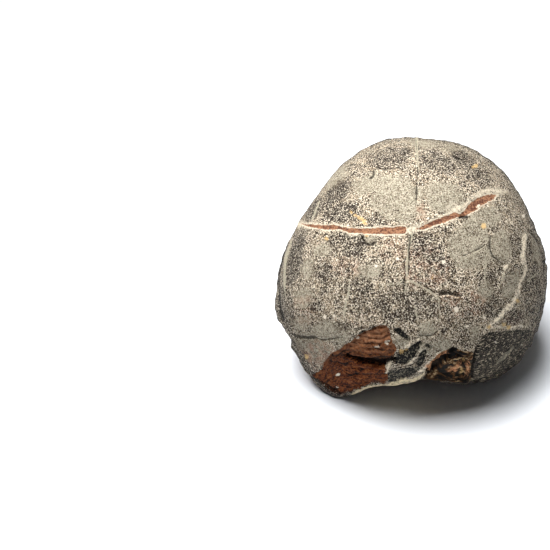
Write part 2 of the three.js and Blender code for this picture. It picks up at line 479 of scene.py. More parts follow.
LOBE = Trace(
    [
        (44, -37.5), (40, -43), (37.5, -50), (36.5, -58), (34, -67), (48, -74), (66, -66), (84, -46),
        (86, -36), (76, -36.6), (68, -35.2), (60, -35.4), (52, -36.4),
    ],
    closed=True,
)
SLITS = [
    (Trace([(-38, -50.4), (-34, -51.2), (-30, -52.7), (-25, -53.7), (-20, -54.2), (-15, -54), (-10, -53)]),
     [(0, 0.4), (4, 1.0), (9, 1.6), (18, 2.1), (24, 2.1), (28, 1.2)], 4.0),
    (Trace([(9.5, -59), (13, -56), (17, -51.8), (21, -48.8), (25, -47.6)]),
     [(0, 0.8), (5, 1.7), (10, 1.8), (16, 1.2), (19, 0.5)], 3.0),
    (Trace([(39, -44.6), (37.6, -50), (36.6, -55), (36, -60), (35.6, -64)]),
     [(0, 0.4), (8, 0.9), (20, 0.9)], 1.6),
    (Trace([(28.6, 30.7), (31, 31.2), (33.4, 30.8)]), [(0, 0.5), (2.4, 0.8), (5, 0.4)], 1.0),
    (Trace([(-46, -70.6), (-43.4, -70.4)]), [(0, 0.9)], 1.0),
    (Trace([(77.6, 5.4), (78.8, 4.4)]), [(0, 0.5)], 1.0),
]
LOWERED_SIDE = Trace(
    [
        (-86, -29), (-84, -50), (-76, -50), (-71, -46), (-70, -41.5), (-72.5, -37), (-76.4, -31.6),
        (-79, -29.4),
    ],
    closed=True,
)
print("bare mudstone:", round(MUD_CORNER.length), "mm round")

# %% [markdown]
# ## The mottled shell
# The shell is neither dark nor pale all over. Smooth patches have lost their speckle, stain patches are
# crowded with it, and a few are warm brown. The stain patches along the rims and round the left foot also
# stand for painted shade that darkens the edges. They are set out here as leaning ovals, the way a painter
# blocks in tone. Their true edges come later from noise.

# %% Lay out the mottling
SMOOTH_PATCHES = {  # across, up, half-width, half-height, lean in degrees
    "crown": (-8, 42, 18, 13, -30),
    "crown tail": (-24, 51, 10, 5, 20),
    "right of the crown": (20, 42, 12, 9, -20),
    "left shoulder": (-43, 55, 9, 3.5, 48),
    "top": (8, 74.5, 8, 2.5, -5),
    "top right": (24, 71, 5, 2, -24),
    "under the crack": (-52, 12, 6, 3.6, 10),
    "left of the middle": (-60.5, 1, 3.6, 6.5, -20),
    "left cheek": (-63, -16, 5, 6, 0),
    "low left cheek": (-64, -31, 6, 4, 0),
    "left foot": (-57, -46, 12, 8, -35),
    "foot of the corner": (-46, -37, 12, 6, -12),
    "chip": (-23.8, 18, 3.6, 2.6, -10),
    "middle left": (-25, -1, 7, 5, 0),
    "right window": (52, 13, 7, 10, -10),
    "under the tail": (42, 29, 12, 6, 20),
    "right of the middle": (35, 13, 13, 13, 0),
    "right low window": (44, -13, 5, 6, -20),
    "beside the vein": (58, -8, 4, 8, -20),
    "rim window": (73, 11, 2.6, 8, 10),
    "above the hollow": (9, -35, 6, 4, 30),
    "beside the shard": (14, -45, 11, 4, 12),
    "beside the lobe": (37, -38, 3, 5, 0),
    "over the wedge": (-5, -42, 5, 3, -30),
}
# Stain, and along the rims and round the left foot partly painted shade that darkens the edges.
STAIN_AND_EDGE_SHADE_PATCHES = {  # the same, then how strong
    "crown left": (-12, 66, 13, 5.5, 12, 0.9),
    "crown right": (16, 63, 13, 6, -22, 0.8),
    "right shoulder": (39, 56, 9, 5, -40, 0.9),
    "top right": (30, 66, 9, 4, -30, 1.0),
    "left temple": (-43, 46, 9, 5, 45, 1.3),
    "under the temple": (-40, 34, 11, 6, 0, 1.1),
    "above the left run": (-18, 29.5, 6, 3.5, -25, 0.7),
    "left rim, high": (-57, 36, 4, 7, -35, 1.3),
    "below the left run": (-37, 16, 11, 8, -12, 1.2),
    "left rim": (-69, 6, 4.6, 17, -14, 1.5),
    "left rim, low": (-74, -22, 5, 14, 12, 1.3),
    "left middle": (-51, -1, 7, 5, 0, 0.8),
    "left low": (-57, -20, 5, 4.5, 0, 0.8),
    "middle": (9, 14, 9, 8, 0, 0.6),
    "right of the middle": (16, 6, 7, 7, 0, 0.5),
    "low middle": (-2, -22, 19, 9, 0, 0.75),
    "left of the low middle": (-29, -13, 9, 8, 0, 0.75),
    "over the corner": (-40, -33.5, 5, 3, 0, 0.9),
    "low right": (28, -28, 18, 8, 8, 0.2),
    "beside the lobe": (33, -42.5, 6, 3, 12, 0.6),
    "right dark": (48.5, -4, 4, 7.5, -18, 0.9),
    "right low dark": (49, -23, 6.5, 5, 35, 0.7),
    "small dark": (48, -17, 3, 2, 0, 0.8),
    "right rim": (71, -14, 5.5, 22, 6, 0.65),
    "beside the vein": (61.5, 14, 3, 6, 0, 0.7),
    "behind the vein": (69, 14, 1.6, 9, 8, 1.0),
    "below the vein": (60, -27, 5, 4, 0, 1.0),
    "left foot": (-57, -50, 12, 9, -35, 0.6),
    "left edge of the foot": (-65, -50, 4, 12, 30, 1.3),
}
WARM_PATCHES = {
    "middle": (9, 1, 14, 14, 0, 1.0),
    "low right": (30, -20, 14, 8, 0, 1.0),
    "below the left run": (-10, 12, 9, 8, 0, 0.6),
    "left": (-38, 2, 10, 6, 0, 0.6),
    "left cheek": (-62, -24, 9, 9, 0, 0.5),
    "right of the top hairline": (6, 33, 3.4, 9, 0, 0.7),
    "edge of the corner": (-60, -56, 4, 9, 30, 0.9),
    "left foot": (-52, -50, 10, 8, -35, 0.9),
    "below the vein": (60, -28, 6, 5, 0, 0.9),
    "over the corner": (-26, -30, 10, 4, 0, 0.6),
}
RUST_SPOTS = [  # across, up, radius
    (-35, 34, 0.9), (-33, 32.4, 0.8), (-31, 31, 0.9), (-29, 30, 1.2), (-27.4, 28.6, 1.3),
    (-26.4, 27.4, 0.8), (-49.6, 18.4, 1.0), (42.6, 25.7, 1.5), (38, 61.2, 1.2), (36.6, 60.4, 0.8),
    (54, -31.8, 1.1), (56.6, -33.4, 1.3), (62, -18, 1.0), (45.4, -33.4, 1.2), (-5.4, -48, 1.5),
    (-2.6, -47, 0.9), (31, -53, 1.0), (29.6, -57, 0.9), (-61.5, -51.6, 1.3), (-26, 20, 0.7),
    (12.4, -4.4, 0.7),
]
PALE_CRUMBS = [
    (-14.2, -42, 1.0), (-12.6, -41.4, 0.8), (-13.4, -43, 0.6), (-20, -45, 0.9), (-18.6, -44.6, 0.6),
    (-42.6, -61.4, 1.0), (-42.8, -69, 1.0), (-30.8, -39.4, 0.9), (19, 4.6, 1.3), (-20.4, 2.6, 1.0),
    (-8, 6.6, 1.1), (26.6, -23, 1.6), (43, -28, 1.0), (12, -8, 0.6), (50, -43, 0.7), (65, -44.5, 0.6),
    (-50.6, -27.6, 1.0), (10, 30, 0.8), (-45, -27, 0.8), (65.6, 31.6, 1.0), (33, -33, 1.0),
]
print("patches:", len(SMOOTH_PATCHES) + len(STAIN_AND_EDGE_SHADE_PATCHES) + len(WARM_PATCHES))

# %% [markdown]
# ## The far side
# The egg is finished all round. The long crack and the top hairline run on over the rim, so the far side
# has a sheet of its own, which looks from straight behind and a little above. Low on that side a second
# piece of shell is missing, and round the foot the egg broke out of its rock, so bare mudstone shows there.

# %% Trace the far side
far = Sheet(180, 15)
FAR_RED_BANDS = [
    (
        Trace(
            [
                (67, 20), (68.6, 12), (67.4, 5), (63, -1.5), (55, -5.5), (45, -5.5), (34, -2), (23, -4),
                (12, -1),
            ]
        ),
        [(0, -0.4), (7, 0.8), (20, 1.3), (32, 1.7), (44, 1.2), (54, 1.4), (62, 0.8), (70, -0.5)],
    ),
]
FAR_DARK_LINES = {
    "line_a": [
        (Trace([(-4.6, 52), (-4.8, 44), (-7, 34), (-5, 24), (-9, 12), (-7, 0), (-12, -14)]), EVEN),
        (Trace([(42, 30), (38, 20), (41, 10), (36, 0)]), FAINT),
        (Trace([(60, -34), (48, -32), (36, -37), (24, -35), (14, -40)]), [(0, 0.8)]),
    ],
    "line_b": [
        (Trace([(14, -1.4), (4, -3), (-8, 2), (-20, -1), (-34, 5), (-46, 3), (-60, 8)]), EVEN),
        (Trace([(50, -44), (38, -48), (26, -46)]), [(0, 0.6)]),
    ],
    "line_c": [
        (Trace([(-38, 10), (-42, -2), (-37, -16), (-44, -30)]), FAINT),
    ],
}
FAR_VEIN_BANDS = [
    (Trace([(-62, 40), (-55, 30), (-57, 18), (-50, 6), (-53, -8)]), [(0, 0.6), (20, 1.2), (50, 0.5)]),
]
FAR_MUD = Trace(
    [
        (58, -26), (46, -16), (34, -19), (27, -27), (14, -29), (6, -38), (12, -50), (30, -60), (52, -56),
        (66, -42),
    ],
    closed=True,
)
FAR_SMOOTH_PATCHES = {
    "far crown": (14, 38, 16, 9, 15),
    "far cheek": (-32, -8, 10, 14, 20),
    "far foot": (-18, -38, 15, 7, -10),
    "far shoulder": (50, 34, 9, 6, -35),
    "far middle": (-6, 14, 12, 6, 20),
    "over the far mud": (40, -11, 12, 4, -20),
}
FAR_STAINED_PATCHES = {
    "far middle": (2, 4, 16, 9, 10, 0.8),
    "far left": (54, 2, 11, 12, 0, 0.8),
    "far right": (-58, -20, 10, 16, 0, 0.9),
    "far top": (-24, 44, 14, 6, -15, 0.7),
}
FAR_WARM_PATCHES = {
    "far middle": (-16, 22, 18, 11, 20, 0.9),
    "far left": (34, 4, 12, 6, -20, 0.8),
    "far right": (-50, -2, 9, 14, 0, 0.7),
}
FOOT_MUD_HEIGHT = 5.0  # mm of bare mudstone above the resting face, on average
FOOT_MUD_SWING = 9.0
print("far crack:", round(FAR_RED_BANDS[0][0].length), "mm")

# %% [markdown]
# ## Measuring a point
# Each point of the body is flattened onto both sheets and measured against the marks. A little noise is
# added to where it lands, so no edge is as smooth as the curve it was drawn with. What is kept for the
# paint, as attributes on the points, are distances in millimetres. A thin line keeps its left-or-right
# distance with its sign, because that passes through nought exactly on the line and stays thin on a coarse
# mesh. The line's half-width is kept with it, and falls below nought past its ends.

# %% Helpers for measuring
LINE_REACH = 2.4  # mm from a thin line at which its point of the mesh forgets it
NO_LINE = (FAR_AWAY, -1.0)


def widest(bands, x, y):
    """Mm inside the nearest of some bands: negative outside."""
    deepest = -FAR_AWAY
    for trace, widths in bands:
        if trace.near(x, y):
            _, along, gap = trace.measure(x, y)
            deepest = max(deepest, profile(along, widths) - gap)
    return deepest


def nearest_line(lines, x, y):
    """(signed mm across the nearest of some thin lines, its half-width here)."""
    nearest, found = LINE_REACH, NO_LINE
    for trace, widths in lines:
        if trace.near(x, y):
            left, along, gap = trace.measure(x, y)
            if gap < nearest:
                past_end = math.sqrt(max(gap * gap - left * left, 0.0))
                fading = 1.3 * ramp(gap, 1.3, LINE_REACH)
                nearest, found = gap, (left, profile(along, widths) - 0.6 * past_end - fading)
    return found


def oval_depth(patch, x, y):
    """Rough mm inside a leaning oval: negative outside."""
    across, up, half_width, half_height, lean = patch[:5]
    turn = math.radians(lean)
    dx, dy = x - across, y - up
    along = dx * math.cos(turn) + dy * math.sin(turn)
    beside = dy * math.cos(turn) - dx * math.sin(turn)
    reach = math.hypot(along / half_width, beside / half_height)
    return (1 - reach) * min(half_width, half_height)


def deepest_oval(patches, x, y):
    """Rough mm inside the nearest of some ovals."""
    return max(oval_depth(patch, x, y) for patch in patches.values())


def strongest_oval(patches, x, y):
    """The strength of the strongest oval here, fading at its edge."""
    return max(patch[5] * ramp(oval_depth(patch, x, y), -1.5, 1.5) for patch in patches.values())


def deepest_spot(spots, x, y):
    """Mm inside the nearest of some round spots."""
    return max(radius - math.hypot(x - across, y - up) for across, up, radius in spots)


def bump(value, width):
    """1 where the value is nought, fading over the width on both sides."""
    return math.exp(-((value / width) ** 2))


def wave(point, size, seed=0.0):
    """Smooth noise from -1 to 1 with waves of the given size in mm."""
    return noise.noise(point / (size * MM) + Vector((seed, seed * 1.7, -seed)))


print("no line:", NO_LINE)

# %% [markdown]
# ## Bedding
# Mudstone was laid down in thin beds and splits along them. The height of a point through the beds, in
# millimetres, is its height on the sheet less a given bend, with some waviness. Both the small
# ledges in the relief and the fine lines in the paint follow it.

# %% The beds
BED_BEND = [(-66, -12), (-58, -7), (-50, -3.5), (-41, 2), (-34, 1), (-26, -1), (-16, -0.5), (-8, 1.5)]
LEDGE = 3.2  # mm from one ledge to the next


def bed_height(point, x, y):
    """Mm up through the beds."""
    waviness = 1.7 * wave(point, 12, 1) + 1.1 * wave(point, 3.6, 4) + 0.5 * wave(point, 1.8, 5)
    return y - profile(x, BED_BEND) + waviness


def ledges(bed, size):
    """Split beds: each ledge rises slowly and drops quickly, from 0 to 1."""
    step = bed / size - math.floor(bed / size)
    return ramp(step, 0.0, 0.3) * (1 - ramp(step, 0.35, 1.0))


print("ledges every", LEDGE, "mm")

# %% [markdown]
# ## What is where
# One function measures all the marks of the show side at a point, another those of the far side, and a
# third joins them and darkens the stain near the rim as painted shade. The show side's marks stop a little
# way behind the rim, and the far side's start there.
# Lines, lips and slits would be drawn out long where the surface turns away, so they fade before the rim.
# The hollow narrows towards the foot.

# %% Measure the show side
FIELDS = (
    "red", "calcite", "vein", "lip", "mud", "bits", "hollow", "lobe", "smooth", "stained", "warm",
    "rust", "crumb", "slit", "bed",
)
LINES = ("line_a", "line_b", "line_c", "strip_a", "strip_b")
RIM_LINES = {"line_c": 1.2, "strip_a": 3.5, "strip_b": 3.5}  # mm of half-width that these lose at the rim
RIM_LINES_FROM = 8.0  # mm in front of the show sheet where they start to lose it
RIM_FADERS = ("slit", "lip", "smooth")
RIM_FADE = 4.0  # mm that these lose at the rim
RIM_FADE_FROM = 7.0
INCLUSION_BITE = 2.6  # how much of the filling an inclusion takes away
HOLLOW_CLOSING = 9.0  # mm by which each side of the hollow draws in at the foot
HOLLOW_CLOSES = (-22 * MM, 2 * MM)  # heights below the egg's lowest point, negative above it


def show_marks(point, wobble):
    """Every mark of the show side at a point: name to mm, and the slits' depth."""
    x, y, depth = show.flatten(point)
    lx, ly = x + 0.4 * wobble.x, y + 0.4 * wobble.y
    wx, wy = x + wobble.x, y + wobble.y
    red = widest(RED_BANDS, lx, ly)
    closing = HOLLOW_CLOSING * ramp(egg_low.z - point.z, *HOLLOW_CLOSES) * (1 + 0.8 * wave(point, 9, 31))
    marks = {
        "red": red - INCLUSION_BITE * max(deepest_spot(CRACK_INCLUSIONS, lx, ly), 0),
        "calcite": max(
            red + CALCITE_EDGE, CALCITE_SPREAD.inside(wx, wy), deepest_oval(CALCITE_PATCHES, wx, wy)
        ),
        "vein": widest(VEIN_BANDS, wx, wy),
        "lip": widest(LIP_BANDS, lx, ly),
        "mud": MUD_CORNER.inside(wx, wy),
        "bits": max(trace.inside(lx, ly) for trace in BITS),
        "hollow": HOLLOW.inside(wx, wy) + 2.0 * wave(point, 7, 32) - closing,
        "lobe": LOBE.inside(lx, ly),
        "smooth": deepest_oval(SMOOTH_PATCHES, wx, wy),
        "stained": strongest_oval(STAIN_AND_EDGE_SHADE_PATCHES, wx, wy),
        "warm": strongest_oval(WARM_PATCHES, wx, wy),
        "rust": deepest_spot(RUST_SPOTS, lx, ly),
        "crumb": deepest_spot(PALE_CRUMBS, lx, ly),
        "slit": widest([slit[:2] for slit in SLITS], lx, ly),
        "bed": bed_height(point, x, y),
        "lowered": LOWERED_SIDE.inside(lx, ly),
    }
    for name in RIM_FADERS:
        marks[name] -= RIM_FADE * ramp(-depth, -RIM_FADE_FROM, 0)
    for name, lines in (*DARK_LINES.items(), *PALE_STRIPS.items()):
        across, half_width = nearest_line(lines, lx, ly)
        if name in RIM_LINES:
            half_width -= RIM_LINES[name] * ramp(-depth, -RIM_LINES_FROM, 0)
        marks[name] = (across, half_width)
    marks["gape"] = ramp(depth, 0, 6) * max(
        deep * ramp(widest([(trace, widths)], lx, ly), -0.7, 0.5) for trace, widths, deep in SLITS
    )
    return marks


print("measured distances:", len(FIELDS) + len(LINES))

# %% Measure the far side and join the two
RIM_DEPTH = -9.0  # mm behind the show sheet where its marks stop, on average
RIM_RAGGEDNESS = 7.0
RIM_WIDTH = 15.0  # mm over which the painted rim shade and the roughness of the rim fade on either side
PLAIN = {name: -FAR_AWAY for name in FIELDS} | {name: NO_LINE for name in LINES}
PLAIN |= {"stained": 0.0, "warm": 0.0, "gape": 0.0, "lowered": -FAR_AWAY}


def far_marks(point, wobble):
    """Every mark of the far side at a point."""
    x, y, _ = far.flatten(point)
    lx, ly = x + 0.4 * wobble.x, y + 0.4 * wobble.y
    wx, wy = x + wobble.x, y + wobble.y
    height = (point.z - egg_low.z) / MM
    foot_mud = FOOT_MUD_HEIGHT + FOOT_MUD_SWING * wave(point, 30, 5) - height + wobble.z
    red = widest(FAR_RED_BANDS, lx, ly)
    marks = dict(PLAIN)
    marks.update(
        red=red,
        calcite=red + CALCITE_EDGE,
        vein=widest(FAR_VEIN_BANDS, lx, ly),
        mud=max(FAR_MUD.inside(wx, wy), foot_mud),
        smooth=deepest_oval(FAR_SMOOTH_PATCHES, wx, wy),
        stained=strongest_oval(FAR_STAINED_PATCHES, wx, wy) + 1.1 * wave(point, 24, 33),
        warm=strongest_oval(FAR_WARM_PATCHES, wx, wy),
        bed=bed_height(point, x, y),
    )
    for name, lines in FAR_DARK_LINES.items():
        marks[name] = nearest_line(lines, lx, ly)
    return marks


def marks_at(point, wobble):
    """All the marks at a point of the egg, with painted shade darkening it near the rim."""
    _, _, depth = show.flatten(point)
    rim = bump(depth, RIM_WIDTH)
    marks = side_marks(point, wobble, depth)
    marks["rim"] = rim
    # Painted shade: near the rim, as seen from the show side, the stain level rises so that the edges darken.
    rim_painted_shade = rim * (2.1 + 0.9 * wave(point, 14, 17))
    marks["stained"] = max(marks["stained"], rim_painted_shade)
    return marks


def side_marks(point, wobble, depth):
    """The marks of whichever side a point is on."""
    if depth + RIM_RAGGEDNESS * wave(point, 8, 15) > RIM_DEPTH:
        marks = show_marks(point, wobble)
        red = widest(FAR_RED_BANDS, *far.flatten(point)[:2]) if point.y > 0 else -FAR_AWAY
        marks["red"] = max(marks["red"], red)
        marks["calcite"] = max(marks["calcite"], red + CALCITE_EDGE)
        return marks
    return far_marks(point, wobble)


print("marks stop", -RIM_DEPTH, "mm behind the show sheet")

# %% [markdown]
# ## Shaping the surface
# Each point moves out or in along its normal. Shell is about two millimetres thick, so bare mudstone lies
# that much lower behind a sharp edge, in small ledges. The hollow under the front is the deepest place.
# Points near the resting face stay where they are.

# %% The relief
SHELL_THICKNESS = 2.0
HOLLOW_DEPTH = 6.0
LOWERED_DEPTH = 2.4
LIP_HEIGHT = 1.4
LOBE_DEPTH = 0.9
FIXED_FOOT = 2.5 * MM  # height over which the relief grows from nothing


def line_relief(marks):
    """Mm that the thin lines cut in or stand out."""
    height = 0.0
    for name in ("line_a", "line_b", "line_c"):
        across, half_width = marks[name]
        height -= 1.1 * max(half_width + 0.1, 0) * bump(across, 0.5 + max(half_width, 0))
    for name in ("strip_a", "strip_b"):
        across, half_width = marks[name]
        height += 0.35 * max(half_width + 0.1, 0) * bump(across, 0.9)
    return height


def sinking(marks):
    """Roughly how many mm a point of the broken places sinks."""
    bare = ramp(marks["mud"], -0.35, 0.35)
    pit = ramp(marks["hollow"], -0.5, 4.0)
    return SHELL_THICKNESS * bare + HOLLOW_DEPTH * pit


def broken_relief(marks, point):
    """Mm that the broken places lie in or out."""
    bare = ramp(marks["mud"], -0.35, 0.35)
    crushed = ramp(marks["bits"], -0.4, 0.5)
    pit = ramp(marks["hollow"], -0.5, 4.0) * (0.1 + 0.9 * ramp(marks["bed"], -66, -56))
    height = -SHELL_THICKNESS * bare
    height += bare * (1.1 * ledges(marks["bed"], LEDGE) + 0.2 * ledges(marks["bed"] + 0.7, 1.3))
    height += bare * (0.5 * wave(point, 5, 6) + 0.2 * wave(point, 1.6, 7))
    height -= crushed * (0.8 + 0.9 * wave(point, 4, 9) + 0.4 * wave(point, 1.8, 10))
    height -= pit * (HOLLOW_DEPTH + 2.6 * wave(point, 8, 11) - 1.8 * ledges(marks["bed"], 4.2))
    height += pit * (0.9 * wave(point, 3.2, 12) + 0.4 * wave(point, 1.7, 13))
    height -= LOBE_DEPTH * ramp(marks["lobe"], -0.5, 0.5)
    return height - marks["gape"]


def relief(marks, point):
    """Mm that a point moves out along its normal."""
    roughness = 1 - 0.5 * ramp(marks["smooth"], -1, 1)
    height = 0.4 * wave(point, 18) + 0.2 * wave(point, 6, 2) + 0.13 * wave(point, 2.4, 4) * roughness
    height += 0.25 * ramp(marks["calcite"], -0.3, 0.6)
    height -= ramp(marks["red"], -0.4, 0.3) * (0.6 + 0.4 * wave(point, 3, 8))
    height += 0.12 * ramp(marks["vein"] + 0.8 * wave(point, 3, 20), -0.6, 0.7)
    height += LIP_HEIGHT * ramp(marks["lip"], -0.9, 0.6) * (0.8 + 0.5 * wave(point, 3, 14))
    height += marks["rim"] * (0.8 * wave(point, 5.5, 18) + 0.4 * wave(point, 2.6, 19))
    height -= 0.2 * marks["stained"] + LOWERED_DEPTH * ramp(marks["lowered"], -0.3, 4)
    return height + line_relief(marks) + broken_relief(marks, point)


print("shell:", SHELL_THICKNESS, "mm thick")

# %% [markdown]
# Now every point is measured, and moved only once all of them are done, so that no measurement sees a
# surface that has already been moved. A point that sinks far also slides sideways on the sheet, so its
# lines and colours are measured again from where it will end up. The broken edges stay as first measured.

# %% Measure and shape
SETTLING = 0.5  # mm of sinking from which a point is measured again
BROKEN_EDGES = ("mud", "hollow", "bits", "lobe")
WOBBLE_SEED = 7  # fixed, so that the wobble of every edge comes out the same each run
noise.seed_set(WOBBLE_SEED)
fields = {name: [] for name in FIELDS}
lines = {name: [] for name in LINES}
moves = []
for vert in body.verts:
    point = vert.co
    wobble = noise.noise_vector(point / (6 * MM)) * 0.9 + noise.noise_vector(point / (1.9 * MM)) * 0.5
    marks = marks_at(point, wobble)
    sunk = sinking(marks)
    if sunk > SETTLING:
        settled = marks_at(point - vert.normal * sunk * MM, wobble)
        marks = settled | {name: marks[name] for name in BROKEN_EDGES}
    lift = relief(marks, point) * ramp(point.z, egg_low.z, egg_low.z + FIXED_FOOT)
    moves.append(vert.normal * lift * MM)
    for name in FIELDS:
        fields[name].append(marks[name])
    for name in LINES:
        lines[name] += (*marks[name], 0.0)
for vert, move in zip(body.verts, moves):
    vert.co += move
    vert.co.z = max(vert.co.z, egg_low.z)
print("deepest cut, mm:", round(max(move.length for move in moves) / MM, 1))

# %% [markdown]
# ## From working mesh to piece
# The body becomes a mesh object with smooth shading, and the measured distances go onto its points.

# %% Make the egg object
egg_mesh = bpy.data.meshes.new("fossil_egg_surface")
body.to_mesh(egg_mesh)
body.free()
egg_mesh.shade_smooth()
for name, values in fields.items():
    egg_mesh.attributes.new(name, "FLOAT", "POINT").data.foreach_set("value", values)
for name, values in lines.items():
    egg_mesh.attributes.new(name, "FLOAT_VECTOR", "POINT").data.foreach_set("vector", values)
egg = bpy.data.objects.new("fossil_egg_surface", egg_mesh)
bpy.context.scene.collection.objects.link(egg)
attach(egg, "root")
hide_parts(EGG_NODE)
print("attributes:", len(fields) + len(lines))

# %% [markdown]
# ## Shader maths in plain sight
# A finish is a node tree, and a node tree is arithmetic. Wrapping a socket in a small class lets Python
# write that arithmetic: an expression on two values adds the Math node that works it out. Every other
# node comes from one method, which takes the node's type, its settings, and what its sockets hold.

# %% The socket wrapper


def filled_in(value):
    """What a socket gets from a Python value: a colour of three parts gains its alpha."""
    if isinstance(value, tuple) and len(value) == 3:
        return (*value, 1.0)
    return value


class Value:
    """One output socket of a finish, to be used in expressions."""

    def __init__(self, finish, socket):
        self.finish = finish
        self.socket = socket

    def maths(self, operation, *others, swap=False):
        terms = [*others, self] if swap else [self, *others]
        return self.finish.node("ShaderNodeMath", {"operation": operation}, dict(enumerate(terms)))

    def __add__(self, other):
        return self.maths("ADD", other)

    __radd__ = __add__

    def __mul__(self, other):
        return self.maths("MULTIPLY", other)

    __rmul__ = __mul__

    def __sub__(self, other):
        return self.maths("SUBTRACT", other)

    def __rsub__(self, other):
        return self.maths("SUBTRACT", other, swap=True)

    def __abs__(self):
        return self.maths("ABSOLUTE")

    def most(self, other):
        return self.maths("MAXIMUM", other)

    def rise(self, low, high):
        """0 below low, 1 above high, with a smooth rise between. With low above high it falls."""
        return self.finish.node(
            "ShaderNodeMapRange", {"interpolation_type": "SMOOTHSTEP"}, {0: self, 1: low, 2: high}
        )


class Finish:
    """A material and the nodes that make it."""

    def __init__(self, name):
        self.material = bpy.data.materials.new(name)
        self.material.use_nodes = True
        self.tree = self.material.node_tree
        self.tree.nodes.clear()

    def node(self, kind, settings=None, sockets=None, output=0):
        """Adds a node, sets it up, fills its sockets, and returns one of its outputs."""
        made = self.tree.nodes.new(kind)
        for setting, value in (settings or {}).items():
            setattr(made, setting, value)
        for socket, value in (sockets or {}).items():
            if isinstance(value, Value):
                self.tree.links.new(value.socket, made.inputs[socket])
            else:
                made.inputs[socket].default_value = value
        return Value(self, made.outputs[output]) if made.outputs else None

    def measured(self, name):
        """A distance that was stored on the points."""
        return self.node("ShaderNodeAttribute", {"attribute_name": name}, output="Fac")

    def parts(self, vector):
        """The three parts of a vector."""
        split = self.node("ShaderNodeSeparateXYZ", sockets={0: vector}).socket.node
        return [Value(self, part) for part in split.outputs]

    def blend(self, share, under, over):
        """One colour laid over another by a share from 0 to 1."""
        settings = {"data_type": "RGBA"}
        sockets = {0: share, 6: filled_in(under), 7: filled_in(over)}
        return self.node("ShaderNodeMix", settings, sockets, output=2)

    def cloud(self, place, size, detail=2.0, roughness=0.5, twist=0.0, output="Fac"):
        """Cloudy noise round one half, in waves of a size in mm, twisted into worms if asked."""
        sockets = {"Vector": place, "Scale": 1 / size, "Detail": detail, "Roughness": roughness}
        sockets["Distortion"] = twist
        return self.node("ShaderNodeTexNoise", sockets=sockets, output=output)


def shade(code):
    """A colour for a socket from the six-figure code that a paint chart gives."""
    parts = [int(code[i : i + 2], 16) / 255 for i in (0, 2, 4)]
    return tuple(part / 12.92 if part <= 0.04045 else ((part + 0.055) / 1.055) ** 2.4 for part in parts)


print("mid grey:", [round(part, 3) for part in shade("808080")])

# %% [markdown]
# ## Places for the pattern
# Every pattern is laid out in millimetres from Object coordinates, so it goes right through the stone like
# the real grain does. A second set of places follows the beds of the mudstone: one step up through the beds
# counts as much as five steps along them.

# %% Start the stone finish
stone = Finish("fossil egg stone")
object_place = stone.node("ShaderNodeTexCoord", output="Object")
place = stone.node("ShaderNodeVectorMath", {"operation": "SCALE"}, {0: object_place, "Scale": 1 / MM})
drift = stone.cloud(place, 5, 2, 0.5, output="Color")
drift_shift = stone.node("ShaderNodeVectorMath", {"operation": "SCALE"}, {0: drift, "Scale": 2.4})
warped = stone.node("ShaderNodeVectorMath", {"operation": "ADD"}, {0: place, 1: drift_shift})
place_x, place_y, _ = stone.parts(place)
bed_place = stone.node(
    "ShaderNodeCombineXYZ", sockets={0: place_x * 0.2, 1: place_y * 0.1, 2: stone.measured("bed")}
)
fray = stone.cloud(place, 2.2, 3, 0.65)
fine_fray = stone.cloud(place, 0.9, 2, 0.6)
print("patterns start from", object_place.socket.name, "coordinates")

# %% [markdown]
# ## Speckled shell
# The shell is two stones in one: pale, greenish calcite and near-black manganese stain, mixed at the
# scale of coarse sand. One fine, twisted noise decides grain by grain. Wider noises and the mottling
# raise or lower its level, so the dark grains crowd together in places and thin out in others. The level
# becomes ground, dust and stain with steep steps between them, and small pale crumbs sit on top.

# %% Shell colours
CREAM_SHELL = shade("d4cab7")
GREEN_SHELL = shade("878170")
TAN_SHELL = shade("8e7e68")
PALE_SHELL = shade("a59c8a")
WARM_SHELL = shade("93705a")
WARM_DUST = shade("6e5345")
DUSTY_SHELL = shade("5d5144")
DARK_STAIN = shade("2a241f")

smooth_here = (stone.measured("smooth") + 9 * (stone.cloud(place, 5, 3, 0.65) - 0.5)).rise(-1.3, 0.9)
# The stain level carries painted shade along the rims as well as the real stain.
stain_and_edge_shade_here = stone.measured("stained")
warm_here = stone.measured("warm") * stone.cloud(place, 4, 2, 0.6).rise(0.36, 0.6)
sand_grain = stone.cloud(place, 0.6, 0, 0.5, twist=1.0)
grit = stone.cloud(place, 1.3, 1, 0.6, twist=0.8)
grain = stone.cloud(warped, 2.2, 3, 0.7)
clump = stone.cloud(warped, 6, 2, 0.55)
level = 0.9 * sand_grain + 0.3 * grit + 0.33 * grain + 0.28 * (clump - 0.5) - 0.28 + 0.1 * stain_and_edge_shade_here
level = level - (level - 0.44) * 0.66 * smooth_here
dusty = level.rise(0.45, 0.49)
stained = level.rise(0.51, 0.55)
crumbs = (sand_grain + 0.3 * (grit - 0.5)).rise(0.4, 0.33)
ground = stone.blend(smooth_here, TAN_SHELL, GREEN_SHELL)
ground = stone.blend(stone.cloud(place, 2.6, 4, 0.7).rise(0.46, 0.64) * 0.8, ground, PALE_SHELL)
ground = stone.blend(warm_here * 0.65, ground, WARM_SHELL)
dust = stone.blend(warm_here, DUSTY_SHELL, WARM_DUST)
shell = stone.blend(dusty, ground, dust)
shell = stone.blend(stained, shell, DARK_STAIN)
shell = stone.blend(crumbs * (0.9 - 0.6 * smooth_here - 0.2 * stain_and_edge_shade_here.most(0)), shell, CREAM_SHELL)
print("shell finish so far:", len(stone.tree.nodes), "nodes")

# %% [markdown]
# ## The rubbed lobe, the hollow and the crushed bits
# The slid plate at the lower right is darker, with two sets of fine crossing streaks where it was rubbed.
# The hollow is dirty brown split rock with black painted shade in the gaps between its ledges, and the
# crushed bits are black shell with pale crumbs.

